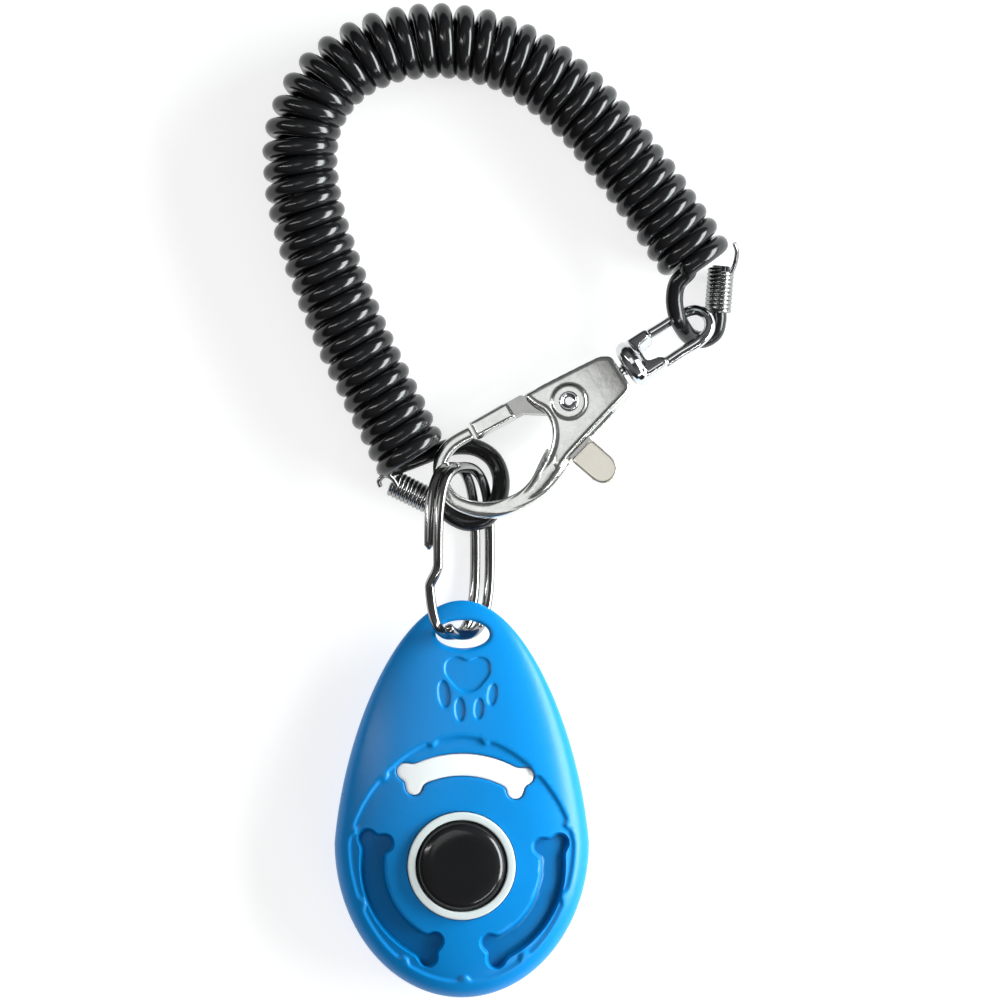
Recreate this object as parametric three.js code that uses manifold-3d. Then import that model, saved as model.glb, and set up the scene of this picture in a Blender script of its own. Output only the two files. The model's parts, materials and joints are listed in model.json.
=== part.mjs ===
// A dog-training clicker on a coiled wrist strap, lying flat on its back.
// Millimetres, +Z up. The origin is on the flat back, straight under the button's centre.
// +Y runs from the button to the clicker's tip, and on along the ring to the strap.
import * as THREE from "three";
import { mergeVertices } from "three/addons/utils/BufferGeometryUtils.js";
import Module from "manifold-3d";

const wasm = await Module();
wasm.setup();

// ---- Driving dimensions: clicker body ----
const HALF_WIDTH = 20.9; // widest half-width of the egg outline
const WIDEST_Y = 3.6; // where the outline is widest
const TIP_LENGTH = 39.8; // from the widest line to the tip
const HEEL_LENGTH = 25.5; // from the widest line to the round heel
const TIP_TAPER = 0.165; // extra narrowing towards the tip
const MID_Z = 6.2; // height of the rim and of the parting line
const TOP_RISE = 6.4; // face above the rim
const BACK_DROP = 7.2; // back below the rim, before its flat is cut
const TIP_THINNING = 0.6; // share of the thickness lost at the tip
const SECTION_ROUND = 2.6; // how flat the face is: 2 is an ellipse
const SECTION_EDGE = 2.2; // how full the rim is
const GAP = 0.3; // clearance between neighbouring pieces
const FACE_STEP = 0.5; // depth of the sunken area round the button
const FACE_STEP_SIZE = [18.3, 17.4, 22.6]; // its half-width, reach to the tip and reach to the heel
const BONE_DEPTH = 1.0; // depth of the two side bones below the sunken area
const PAW_DEPTH = 0.35;
const CAVITY = { half: 18.9, tip: 27, heel: 23.4, top: 4.0, back: 6.4, floor: 1.6 };
const LIP_HEIGHT = 1.15; // locating lip of the back shell
const LIP_THICK = 0.8;
const TIP_HOLE = { x: 0.15, y: 37.7, halfX: 4.4, halfY: 2.3, flare: 1.1 };

// ---- Driving dimensions: button and click mechanism ----
const BEZEL_R = 8.8;
const BEZEL_BORE_R = 7.7;
const BEZEL_TOP_Z = 12.6;
const BUTTON_R = 7.4;
const BUTTON_TOP_Z = 13.7;
const FRAME_Z = 7.9; // underside of the inner frame's plate
const FRAME_THICK = 0.8;
const PLATE_Z = 5.0; // underside of the click plate
const PLATE_THICK = 0.3;
const PLATE_CLAMP_Y = -12.5; // the click plate bends from here

// ---- Driving dimensions: hardware and strap ----
const RING = { wire: 0.8, left: [-4.6, 12.3], right: [3.38, 0.9], y: 51.35, halfLength: 13.7, round: 2.8 };
const CLASP = { x: 17.84, y: 75.4, z: 5.6, yaw: 32.6, roll: -10 };
const HOOK_BAR = 1.2; // half thickness of the hook's bar
const BODY_HALF = 2.8; // half thickness of the clasp's body
const SLOT_HALF = 1.55; // half thickness of the slot that the gate lever turns in
const LEVER_HALF = 1.25;
const EYE_ROLL = -20; // the eye is turned this far from the clasp's own plane
const EYE_BAR = 0.95;
const EYE_HALF = 3.05; // half-width of the eye's centreline
const EYE_END = 26.65; // from the rivet to the eye's far centreline
const COIL_R = 6.25; // outer radius of the wound strap
const CORD_R = 1.45;
const SPRING_OUTER = 2.35; // end springs screwed on the cord's ends
const SPRING_INNER = 1.75;

// ---- Materials ----
const finish = (color, roughness, metalness) =>
  new THREE.MeshStandardMaterial({ color, roughness, metalness });
const bluePlastic = finish(0x0a82dc, 0.38, 0);
const whitePlastic = finish(0xe6e6e2, 0.4, 0);
const blackGloss = finish(0x161616, 0.15, 0);
const chrome = finish(0xd4d6d8, 0.12, 1);
const springSteel = finish(0xa9adb0, 0.3, 1);
const coilPlastic = finish(0x151515, 0.28, 0);

// ---- Solids ----
function solidOf(geometry) {
  geometry.deleteAttribute("normal");
  geometry.deleteAttribute("uv");
  const merged = mergeVertices(geometry, 1e-4);
  return new wasm.Manifold(
    new wasm.Mesh({
      numProp: 3,
      vertProperties: merged.attributes.position.array,
      triVerts: new Uint32Array(merged.index.array),
    }),
  );
}

function geometryOf(solid) {
  const mesh = solid.getMesh();
  const geometry = new THREE.BufferGeometry();
  geometry.setAttribute("position", new THREE.BufferAttribute(mesh.vertProperties, 3));
  geometry.setIndex(new THREE.BufferAttribute(mesh.triVerts, 1));
  return geometry;
}

// Drops the specks that a cut between nearly touching faces can leave.
function mainBody(solid) {
  return solid.decompose().reduce((best, body) => (body.volume() > best.volume() ? body : best));
}

function box(lowX, lowY, lowZ, highX, highY, highZ) {
  const geometry = new THREE.BoxGeometry(highX - lowX, highY - lowY, highZ - lowZ);
  geometry.translate((lowX + highX) / 2, (lowY + highY) / 2, (lowZ + highZ) / 2);
  return solidOf(geometry);
}

// An upright cylinder from lowZ to highZ, with its own half-axes in X and Y.
function post(x, y, halfX, halfY, lowZ, highZ, sides = 24) {
  const geometry = new THREE.CylinderGeometry(1, 1, highZ - lowZ, sides);
  geometry.rotateX(Math.PI / 2);
  geometry.scale(halfX, halfY, 1);
  geometry.translate(x, y, (lowZ + highZ) / 2);
  return solidOf(geometry);
}

function extrude(shape, lowZ, highZ, curveSegments = 12) {
  const options = { depth: highZ - lowZ, bevelEnabled: false, curveSegments };
  const geometry = new THREE.ExtrudeGeometry(shape, options);
  geometry.translate(0, 0, lowZ);
  return solidOf(geometry);
}

// A closed outline through points, in order, with straight sides.
function polygon(points) {
  return new THREE.Shape(points.map(([x, y]) => new THREE.Vector2(x, y)));
}

function circle(radius, sides) {
  const points = [];
  for (let i = 0; i < sides; i++) {
    const angle = (2 * Math.PI * i) / sides;
    points.push([radius * Math.cos(angle), radius * Math.sin(angle)]);
  }
  return polygon(points);
}

// A solid bar or cord of one section along a curve.
function sweep(section, path, steps) {
  const options = { extrudePath: path, steps, bevelEnabled: false };
  return solidOf(new THREE.ExtrudeGeometry(section, options));
}

function smooth(points) {
  return new THREE.CatmullRomCurve3(points.map((p) => new THREE.Vector3(...p)));
}

// A turned piece: profile is [radius, height] from the axis and back to it, or closed on itself.
function turned(profile, sides = 32) {
  const points = profile.map(([r, z]) => new THREE.Vector2(r, z));
  const geometry = new THREE.LatheGeometry(points, sides);
  geometry.rotateX(Math.PI / 2);
  return solidOf(geometry);
}

// ---- The egg-shaped body ----
// The clicker's outline is an egg. A point of a unit disc goes to its place inside it.
function eggPoint(u, v, half, tip, heel) {
  const x = half * u * (1 - TIP_TAPER * Math.max(v, 0));
  const y = WIDEST_Y + (v > 0 ? tip : heel) * v;
  return [x, y];
}

function eggShape(half, tip, heel, points = 56) {
  const outline = [];
  for (let i = 0; i < points; i++) {
    const angle = (2 * Math.PI * i) / points;
    outline.push(eggPoint(Math.cos(angle), Math.sin(angle), half, tip, heel));
  }
  return polygon(outline);
}

// A pebble on the egg outline: a unit sphere whose vertices are moved by formula.
function pebble(half, tip, heel, rise, drop) {
  const geometry = new THREE.SphereGeometry(1, 40, 18);
  geometry.rotateX(Math.PI / 2);
  const position = geometry.attributes.position;
  for (let i = 0; i < position.count; i++) {
    const u = position.getX(i);
    const v = position.getY(i);
    const w = position.getZ(i);
    const reach = Math.min(Math.hypot(u, v), 1);
    const lift = Math.pow(1 - Math.pow(reach, SECTION_ROUND), 1 / SECTION_EDGE);
    const thin = 1 - TIP_THINNING * Math.pow(Math.max(v, 0), 2);
    const [x, y] = eggPoint(u, v, half, tip, heel);
    const z = MID_Z + Math.sign(w) * lift * thin * (w > 0 ? rise : drop);
    position.setXYZ(i, x, y, Math.abs(w) < 1e-6 ? MID_Z : z);
  }
  return solidOf(geometry);
}

const outerPebble = (lowered) =>
  pebble(HALF_WIDTH, TIP_LENGTH, HEEL_LENGTH, TOP_RISE - lowered, BACK_DROP);
const cavity = pebble(CAVITY.half, CAVITY.tip, CAVITY.heel, CAVITY.top, CAVITY.back)
  .intersect(box(-40, -40, CAVITY.floor, 40, 60, 30));

// The hole through the tip, its two mouths flared so that the ring can lean in it.
function tipHoleCutter() {
  const { x, y, halfX, halfY, flare } = TIP_HOLE;
  const mouth = [
    [0, -6],
    [1 + flare, -6],
    [1, -1.6],
    [1, 1.6],
    [1 + flare, 6],
    [0, 6],
  ];
  const geometry = new THREE.LatheGeometry(mouth.map(([r, z]) => new THREE.Vector2(r, z)), 28);
  geometry.rotateX(Math.PI / 2);
  geometry.scale(halfX, halfY, 1);
  geometry.translate(x, y, MID_Z);
  return solidOf(geometry);
}

const tipHole = tipHoleCutter();

// Lowers the face by depth wherever column stands.
function sink(body, column, depth) {
  return body.subtract(column.subtract(outerPebble(depth)));
}

// A bone bent round the button: an arc band with two knobs at each end.
// Angles run clockwise from +Y, in degrees. The edge stands back by inset all round.
function bone([radius, halfBand, from, to], lowZ, highZ, inset = 0) {
  const clockwise = (degrees) => Math.PI / 2 - (degrees * Math.PI) / 180;
  const half = halfBand - inset;
  const knob = halfBand * 0.92 - inset;
  const band = new THREE.Shape();
  band.absarc(0, 0, radius + half, clockwise(from), clockwise(to), true);
  band.absarc(0, 0, radius - half, clockwise(to), clockwise(from), false);
  let solid = extrude(band, lowZ, highZ, 10);
  for (const end of [from, to]) {
    for (const side of [-1, 1]) {
      const r = radius + side * halfBand * 0.8;
      const x = r * Math.cos(clockwise(end));
      const y = r * Math.sin(clockwise(end));
      solid = solid.add(post(x, y, knob, knob, lowZ, highZ, 14));
    }
  }
  return solid;
}

const TOP_BONE = [16.5, 1.9, -31, 35.5];
const SIDE_BONES = [
  [14.9, 1.9, 77, 160],
  [14.6, 1.9, 200, 286],
];

// The sunken area's outline, with small nubs standing in along its edge.
function faceStepColumn() {
  const [half, tip, heel] = FACE_STEP_SIZE;
  let column = extrude(eggShape(half, tip, heel, 48), MID_Z, 20);
  const nubs = 11;
  for (let i = 0; i < nubs; i++) {
    const angle = (2 * Math.PI * (i + 0.3)) / nubs;
    const [x, y] = eggPoint(Math.cos(angle), Math.sin(angle), half, tip, heel);
    column = column.subtract(post(x, y, 0.75, 0.75, 0, 30, 8));
  }
  return column;
}

// A generic paw print, toes towards the button.
function pawColumns() {
  const pad = post(1.0, 31, 3.1, 2.8, MID_Z, 20, 14);
  const toes = [
    [-2.5, 27.9, 1.0, 2.5],
    [0, 25.3, 0.85, 2.1],
    [3.2, 25.3, 0.8, 1.7],
    [5.1, 27.4, 0.8, 1.9],
  ];
  return toes.reduce((all, [x, y, a, b]) => all.add(post(x, y, a, b, MID_Z, 20, 10)), pad);
}

function frontShell() {
  let body = sink(outerPebble(0), faceStepColumn(), FACE_STEP);
  for (const side of SIDE_BONES) {
    body = sink(body, bone(side, MID_Z, 20), FACE_STEP + BONE_DEPTH);
  }
  body = sink(body, pawColumns(), PAW_DEPTH);
  const low = MID_Z + GAP / 2;
  const rebate = eggShape(
    CAVITY.half + LIP_THICK + GAP,
    CAVITY.tip + LIP_THICK + GAP,
    CAVITY.heel + LIP_THICK + GAP,
  );
  const shell = body
    .intersect(box(-40, -40, low, 40, 60, 30))
    .subtract(cavity)
    .subtract(extrude(rebate, 0, MID_Z + LIP_HEIGHT + GAP))
    .subtract(post(0, 0, BEZEL_R + GAP, BEZEL_R + GAP, 0, 30, 48))
    .subtract(bone(TOP_BONE, 0, 30))
    .subtract(tipHole);
  return mainBody(shell);
}

function backShell() {
  const top = MID_Z - GAP / 2;
  const lipOutside = eggShape(CAVITY.half + LIP_THICK, CAVITY.tip + LIP_THICK, CAVITY.heel + LIP_THICK);
  const lipInside = eggShape(CAVITY.half, CAVITY.tip, CAVITY.heel);
  const lip = extrude(lipOutside, top - 1, MID_Z + LIP_HEIGHT)
    .subtract(extrude(lipInside, 0, 20))
    .intersect(outerPebble(0));
  const plateSeat = box(-4.5, PLATE_CLAMP_Y - 1.3, 1, 4.5, PLATE_CLAMP_Y + 1.3, PLATE_Z - GAP);
  return outerPebble(0)
    .intersect(box(-40, -40, 0, 40, 60, top))
    .subtract(cavity)
    .add(lip)
    .add(plateSeat)
    .subtract(tipHole);
}

// The white inner frame: the ring round the button, the pad behind the top bone, and the
// leg that traps the click plate's fixed end.
function innerFrame() {
  const top = FRAME_Z + FRAME_THICK;
  const plate = extrude(eggShape(14.4, 15.8, 17.4, 40), FRAME_Z, top);
  const ring = post(0, 0, BEZEL_R, BEZEL_R, FRAME_Z, BEZEL_TOP_Z, 40);
  const pad = bone(TOP_BONE, FRAME_Z, BEZEL_TOP_Z - 1.5, GAP);
  const leg = box(-4, PLATE_CLAMP_Y - 1.2, PLATE_Z + PLATE_THICK + GAP, 4, PLATE_CLAMP_Y + 1.2, top);
  return plate
    .add(ring)
    .add(pad)
    .add(leg)
    .subtract(post(0, 0, BEZEL_BORE_R, BEZEL_BORE_R, 0, 30, 40));
}

function buttonCap() {
  const flangeTop = FRAME_Z - GAP;
  const stemLow = PLATE_Z + PLATE_THICK + 0.8 + GAP;
  return turned([
    [0, stemLow],
    [2, stemLow],
    [2, flangeTop - 0.7],
    [8.4, flangeTop - 0.7],
    [8.4, flangeTop],
    [BUTTON_R, flangeTop],
    [BUTTON_R, BUTTON_TOP_Z - 1.4],
    [BUTTON_R - 0.35, BUTTON_TOP_Z - 0.85],
    [BUTTON_R - 1.3, BUTTON_TOP_Z - 0.5],
    [BUTTON_R - 3.6, BUTTON_TOP_Z - 0.15],
    [0, BUTTON_TOP_Z],
  ]);
}

// A sprung steel leaf with a pressed dimple under the button's stem.
function clickPlate() {
  const top = PLATE_Z + PLATE_THICK;
  const leaf = box(-5, PLATE_CLAMP_Y - 1.2, PLATE_Z, 5, 11, top);
  const dome = new THREE.SphereGeometry(1, 20, 12);
  dome.scale(3.2, 3.2, 0.8);
  dome.translate(0, 0, top);
  return leaf.add(solidOf(dome).intersect(box(-6, -6, PLATE_Z + 0.1, 6, 6, 10)));
}

// ---- Split ring: two lanes of one wire, tilted so that it lies over and under the tip ----
class RingPath extends THREE.Curve {
  getPoint(t) {
    const turn = 2 * Math.PI * (0.01 + 1.83 * t);
    const along = Math.sin(turn);
    const across = -Math.cos(turn);
    const power = 2 / RING.round;
    const rightward = Math.sign(across) * Math.pow(Math.abs(across), power);
    const upward = Math.sign(along) * Math.pow(Math.abs(along), power);
    // The wire changes lane just before it comes round to its own first end.
    const kink = THREE.MathUtils.smoothstep(turn / (2 * Math.PI), 0.95, 0.99);
    const lane = 2 * kink - 1;
    const toRight = (1 + rightward) / 2;
    const x = THREE.MathUtils.lerp(RING.left[0], RING.right[0], toRight);
    const z = THREE.MathUtils.lerp(RING.left[1], RING.right[1], toRight);
    return new THREE.Vector3(
      x + lane * THREE.MathUtils.lerp(0.75, 1.2, toRight),
      RING.y + RING.halfLength * upward,
      z + lane * THREE.MathUtils.lerp(0.63, 0, toRight),
    );
  }
}

const splitRing = () => sweep(circle(RING.wire, 8), new RingPath(), 120);

// ---- Swivel clasp, in its own frame: x from the rivet towards the eye, z out of its plane ----
const HOOK_PATH = [
  [-16.9, 4.9],
  [-20.0, 5.0],
  [-22.9, 3.7],
  [-24.7, 0.6],
  [-24.7, -2.8],
  [-22.6, -6.0],
  [-19.4, -8.2],
  [-15.4, -9.0],
  [-11.6, -8.6],
  [-7.6, -7.0],
  [-4.4, -5.6],
];
const BODY_OUTLINE = [
  [-5.9, 5.3],
  [8.2, 3.9],
  [9.9, 2.9],
  [9.9, -3.3],
  [8.9, -3.9],
  [-4.7, -7.4],
  [-9.3, -9.0],
  [-8.4, -6.2],
  [-6.2, -4.6],
  [-4.0, -2.4],
  [-3.5, 0.4],
  [-4.6, 2.6],
];
// The lever's slot: open along the lower edge and towards the hook, closed at the top edge.
const SLOT_OUTLINE = [
  [-9, 7],
  [-9, 2.0],
  [-4.6, -3.2],
  [-5.6, -9.5],
  [5.2, -9.5],
  [5.2, 2.6],
  [-3.2, 3.1],
  [-3.6, 7],
];

function claspBody() {
  const bar = new THREE.Shape();
  const flat = HOOK_BAR * 0.55;
  bar.moveTo(-HOOK_BAR, -flat);
  for (const [x, y] of [
    [-flat, -HOOK_BAR],
    [flat, -HOOK_BAR],
    [HOOK_BAR, -flat],
    [HOOK_BAR, flat],
    [flat, HOOK_BAR],
    [-flat, HOOK_BAR],
    [-HOOK_BAR, flat],
  ]) {
    bar.lineTo(x, y);
  }
  const hook = sweep(bar, smooth(HOOK_PATH.map(([x, y]) => [x, y, 0])), 26);
  const tailBore = new THREE.CylinderGeometry(1.35, 1.35, 8, 16);
  tailBore.rotateZ(Math.PI / 2);
  tailBore.translate(9, 0, 0);
  const chamber = new THREE.CylinderGeometry(2.2, 2.2, 2.6, 16);
  chamber.rotateZ(Math.PI / 2);
  chamber.translate(6.1, 0, 0);
  const boss = post(0, 0, 3.0, 3.0, BODY_HALF - 1, BODY_HALF + 0.35, 24);
  return extrude(polygon(BODY_OUTLINE), -BODY_HALF, BODY_HALF)
    .add(hook)
    .add(boss)
    .subtract(extrude(polygon(SLOT_OUTLINE), -SLOT_HALF, SLOT_HALF))
    .subtract(solidOf(chamber))
    .subtract(solidOf(tailBore))
    .subtract(post(0, 0, 1.15, 1.15, -5, 5, 20));
}

// The gate and its thumb tab are one lever that turns on the rivet.
function claspGate() {
  const arm = polygon([
    [-15.9, 3.7],
    [-7.4, 2.9],
    [-4.2, 0.6],
    [-2.8, -2.6],
    [-4.85, -7.2],
    [-3.6, -12.9],
    [-2.2, -14.2],
    [0.2, -13.8],
    [1.1, -12.4],
    [-0.4, -6.6],
    [2.3, -2.4],
    [2.9, 0],
    [2.2, 2.2],
    [-2.8, 2.6],
    [-6.2, 5.6],
    [-15.7, 6.2],
  ]);
  const bar = polygon([
    [-15.9, 3.7],
    [-9.4, 3.1],
    [-9.4, 5.9],
    [-15.7, 6.2],
  ]);
  return extrude(arm, -LEVER_HALF, LEVER_HALF)
    .add(extrude(bar, -HOOK_BAR - 0.2, HOOK_BAR + 0.2))
    .subtract(post(0, 0, 2.5, 2.5, 0, 5, 20))
    .subtract(post(0, 0, 1.2, 1.2, -5, 5, 20));
}

function claspRivet() {
  return turned(
    [
      [0, -BODY_HALF - 0.5],
      [1.3, -BODY_HALF - 0.5],
      [1.6, -BODY_HALF - 0.3],
      [0.9, -BODY_HALF - 0.3],
      [0.9, BODY_HALF + 0.65],
      [1.6, BODY_HALF + 0.65],
      [1.3, BODY_HALF + 1.05],
      [0.9, BODY_HALF + 0.85],
      [0, BODY_HALF + 0.75],
    ],
    20,
  );
}

// A flat torsion spring round the rivet, in a pocket of the lever.
class CoilPath extends THREE.Curve {
  getPoint(t) {
    const angle = 2 * Math.PI * 1.8 * t;
    return new THREE.Vector3(1.75 * Math.cos(angle), 1.75 * Math.sin(angle), 0.35 + 0.85 * t);
  }
}

const claspSpring = () => sweep(circle(0.2, 5), new CoilPath(), 26);

function swivelEye() {
  const neck = turned(
    [
      [0, 5.5],
      [1.85, 5.6],
      [1.85, 6.6],
      [1.0, 6.9],
      [1.0, 10.5],
      [2.9, 10.5],
      [4.1, 11.6],
      [4.2, 12.6],
      [3.4, 13.6],
      [0, 13.9],
    ],
    24,
  ).rotate([0, 90, 0]);
  const path = smooth([
    [12.6, 2.4, 0],
    [15.5, EYE_HALF, 0],
    [20, EYE_HALF, 0],
    [EYE_END - EYE_HALF, EYE_HALF, 0],
    [EYE_END - 0.9, EYE_HALF * 0.72, 0],
    [EYE_END, 0, 0],
    [EYE_END - 0.9, -EYE_HALF * 0.72, 0],
    [EYE_END - EYE_HALF, -EYE_HALF, 0],
    [20, -EYE_HALF, 0],
    [15.5, -EYE_HALF, 0],
    [12.6, -2.4, 0],
  ]);
  return neck.add(sweep(circle(EYE_BAR, 8), path, 36));
}

// ---- Strap: a wound coil with a plain loop at each end ----
const COIL_LINE = [
  [-9.1, 67.9],
  [-11.4, 73.0],
  [-14.6, 79.4],
  [-17.8, 86.0],
  [-20.6, 92.6],
  [-23.3, 99.9],
  [-25.3, 106.6],
  [-26.4, 113.0],
  [-26.2, 119.5],
  [-23.8, 125.8],
  [-19.3, 130.6],
  [-13.4, 133.6],
  [-6.8, 134.9],
  [-0.2, 134.8],
  [5.4, 133.4],
  [10.7, 131.0],
  [16.0, 127.3],
  [20.9, 122.6],
  [25.6, 116.9],
  [29.9, 111.3],
  [34.0, 105.4],
  [37.6, 100.3],
];
// The left loop: from the cut end in its spring, over the ring's right side, round and into the coil.
const LEFT_LOOP = [
  [-11.3, 62.5, 2.4],
  [-8.6, 61.2, 2.4],
  [-6.0, 59.95, 2.4],
  [-3.4, 58.6, 2.5],
  [-1.4, 56.9, 3.1],
  [1.0, 56.0, 3.5],
  [3.8, 56.6, 3.55],
  [5.6, 58.9, 3.5],
  [6.4, 61.6, 2.8],
  [6.2, 64.3, 1.8],
  [5.0, 66.6, 1.5],
  [2.6, 68.0, 1.5],
  [-0.4, 68.1, 1.5],
  [-2.9, 67.2, 1.8],
  [-4.9, 65.9, 2.2],
];
// The right loop: off the coil's top, over one leg of the eye, under its far end and into its spring.
const RIGHT_LOOP = [
  [36.9, 96.9, 9.9],
  [35.3, 95.2, 9.1],
  [34.8, 92.6, 8.3],
  [35.2, 90.0, 7.7],
  [36.2, 88.0, 5.9],
  [37.6, 86.5, 3.6],
  [39.6, 86.1, 2.2],
  [41.5, 87.2, 1.9],
  [42.1, 89.2, 2.3],
  [42.1, 91.2, 2.4],
  [42.3, 93.6, 2.4],
  [42.5, 96.0, 2.4],
  [42.7, 98.2, 2.4],
];

const cordTube = (points, steps) => sweep(circle(CORD_R, 8), smooth(points), steps);
const strapCoil = () =>
  sweep(circle(COIL_R, 14), smooth(COIL_LINE.map(([x, y]) => [x, y, COIL_R])), 34);

// A wound wire sleeve round the cord, with a hook that holds on to the coil's last turn.
function endSpring(from, to, hook) {
  const a = new THREE.Vector3(...from);
  const b = new THREE.Vector3(...to);
  const length = a.distanceTo(b);
  const sleeve = new THREE.LatheGeometry(
    [
      new THREE.Vector2(SPRING_INNER, 0),
      new THREE.Vector2(SPRING_OUTER, 0),
      new THREE.Vector2(SPRING_OUTER, length),
      new THREE.Vector2(SPRING_INNER, length),
      new THREE.Vector2(SPRING_INNER, 0),
    ],
    20,
  );
  const up = new THREE.Vector3(0, 1, 0);
  const turn = new THREE.Quaternion().setFromUnitVectors(up, b.clone().sub(a).normalize());
  sleeve.applyQuaternion(turn);
  sleeve.translate(...from);
  return solidOf(sleeve).add(sweep(circle(0.4, 6), smooth(hook), 10));
}

// ---- The assembly ----
const clicker = new THREE.Group();

function add(parent, name, solid, material) {
  const mesh = new THREE.Mesh(geometryOf(solid), material);
  mesh.name = name;
  parent.add(mesh);
}

add(clicker, "front_shell", frontShell(), bluePlastic);
add(clicker, "back_shell", backShell(), bluePlastic);
add(clicker, "inner_frame", innerFrame(), whitePlastic);
add(clicker, "button_cap", buttonCap(), blackGloss);
add(clicker, "click_plate", clickPlate(), springSteel);
add(clicker, "split_ring", splitRing(), chrome);

const clasp = new THREE.Group();
clasp.position.set(CLASP.x, CLASP.y, CLASP.z);
const { degToRad } = THREE.MathUtils;
clasp.rotation.set(degToRad(CLASP.roll), 0, degToRad(CLASP.yaw), "ZYX");
clicker.add(clasp);
add(clasp, "clasp_body", claspBody(), chrome);
add(clasp, "clasp_gate", claspGate(), chrome);
add(clasp, "clasp_rivet", claspRivet(), chrome);
add(clasp, "clasp_spring", claspSpring(), springSteel);
const eye = new THREE.Group();
eye.rotation.x = degToRad(EYE_ROLL);
clasp.add(eye);
add(eye, "swivel_eye", swivelEye(), chrome);

add(clicker, "strap_coil", strapCoil(), coilPlastic);
add(clicker, "loop_left", cordTube(LEFT_LOOP, 26), coilPlastic);
add(clicker, "loop_right", cordTube(RIGHT_LOOP, 22), coilPlastic);
const leftHook = [
  [-11.0, 62.4, 4.4],
  [-11.8, 63.4, 5.0],
  [-12.9, 63.5, 5.2],
  [-13.6, 62.7, 5.1],
];
const rightHook = [
  [44.2, 97.2, 3.6],
  [45.0, 99.0, 4.4],
  [45.1, 100.8, 5.4],
  [44.9, 102.2, 6.0],
];
add(clicker, "end_spring_left", endSpring([-11.3, 62.5, 2.4], [-4.6, 59.2, 2.4], leftHook), springSteel);
add(clicker, "end_spring_right", endSpring([42.1, 90.8, 2.4], [42.65, 97.6, 2.4], rightHook), springSteel);

export default clicker;
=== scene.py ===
"""A dog-training clicker on a coiled wrist strap: its looks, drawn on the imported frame."""

import json
import math

import bmesh
import bpy
import numpy as np
from mathutils import Matrix, Vector
from mathutils.geometry import delaunay_2d_cdt


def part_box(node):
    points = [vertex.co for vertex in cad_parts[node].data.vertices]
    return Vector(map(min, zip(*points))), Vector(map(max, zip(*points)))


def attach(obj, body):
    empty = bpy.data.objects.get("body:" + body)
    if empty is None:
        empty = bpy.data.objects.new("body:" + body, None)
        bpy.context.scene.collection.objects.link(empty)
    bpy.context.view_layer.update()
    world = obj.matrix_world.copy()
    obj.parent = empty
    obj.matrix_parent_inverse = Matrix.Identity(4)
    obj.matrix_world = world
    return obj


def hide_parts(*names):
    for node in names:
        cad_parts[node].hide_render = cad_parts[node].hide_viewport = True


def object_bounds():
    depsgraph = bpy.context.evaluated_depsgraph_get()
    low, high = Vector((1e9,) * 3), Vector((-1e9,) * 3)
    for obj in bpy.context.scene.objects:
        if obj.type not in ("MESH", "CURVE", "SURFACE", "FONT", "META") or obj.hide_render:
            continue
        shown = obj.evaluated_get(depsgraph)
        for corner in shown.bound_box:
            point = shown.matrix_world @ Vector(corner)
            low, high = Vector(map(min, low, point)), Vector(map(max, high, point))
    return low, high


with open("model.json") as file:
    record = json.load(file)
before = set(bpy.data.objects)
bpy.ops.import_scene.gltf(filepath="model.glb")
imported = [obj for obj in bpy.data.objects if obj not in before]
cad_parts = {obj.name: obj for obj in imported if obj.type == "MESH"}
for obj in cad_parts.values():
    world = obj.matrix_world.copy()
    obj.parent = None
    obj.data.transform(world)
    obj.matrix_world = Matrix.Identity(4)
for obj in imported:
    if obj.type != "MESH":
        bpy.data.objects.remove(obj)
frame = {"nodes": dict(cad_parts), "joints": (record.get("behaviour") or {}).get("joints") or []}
cad_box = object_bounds()
joints = {joint["name"]: joint for joint in frame["joints"]}

# Shapes are worked out in millimetres in the frame's own axes, and scaled once, here.
MM = 0.001


def box_mm(node):
    low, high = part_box(node)
    return np.array(low) / MM, np.array(high) / MM


# ---- Curves and outlines ----
def smooth_path(points, step):
    """A centripetal Catmull-Rom curve through points, with a point about every step."""
    p = np.array(points, float)
    p = np.vstack([2 * p[0] - p[1], p, 2 * p[-1] - p[-2]])
    out = []
    for a, b, c, d in zip(p, p[1:], p[2:], p[3:]):
        t1 = np.linalg.norm(b - a) ** 0.5
        t2 = t1 + np.linalg.norm(c - b) ** 0.5
        t3 = t2 + np.linalg.norm(d - c) ** 0.5
        count = max(1, math.ceil(np.linalg.norm(c - b) / step))
        for t in t1 + (t2 - t1) * np.arange(count) / count:
            ab = a + (b - a) * t / t1
            bc = b + (c - b) * (t - t1) / (t2 - t1)
            cd = c + (d - c) * (t - t2) / (t3 - t2)
            abc = ab + (bc - ab) * t / t2
            bcd = bc + (cd - bc) * (t - t1) / (t3 - t1)
            out.append(abc + (bcd - abc) * (t - t1) / (t2 - t1))
    out.append(p[-2])
    return np.array(out)


def rounded(points, radius, steps=5):
    """A closed 2-D outline with each corner rounded off by about radius."""
    p = np.array(points, float)
    out = []
    for before, corner, after in zip(np.roll(p, 1, 0), p, np.roll(p, -1, 0)):
        back, on = before - corner, after - corner
        reach = min(radius, 0.48 * np.linalg.norm(back), 0.48 * np.linalg.norm(on))
        start = corner + back / np.linalg.norm(back) * reach
        end = corner + on / np.linalg.norm(on) * reach
        for t in np.linspace(0, 1, steps):
            out.append((1 - t) ** 2 * start + 2 * t * (1 - t) * corner + t * t * end)
    return np.array(out)


def circle(radius, sides, power=2.0, centre=(0, 0)):
    """A round outline; a power above 2 flattens its four sides."""
    angle = 2 * np.pi * np.arange(sides) / sides
    c, s = np.cos(angle), np.sin(angle)
    x = np.sign(c) * np.abs(c) ** (2 / power)
    y = np.sign(s) * np.abs(s) ** (2 / power)
    return np.stack([centre[0] + radius * x, centre[1] + radius * y], 1)


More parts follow.
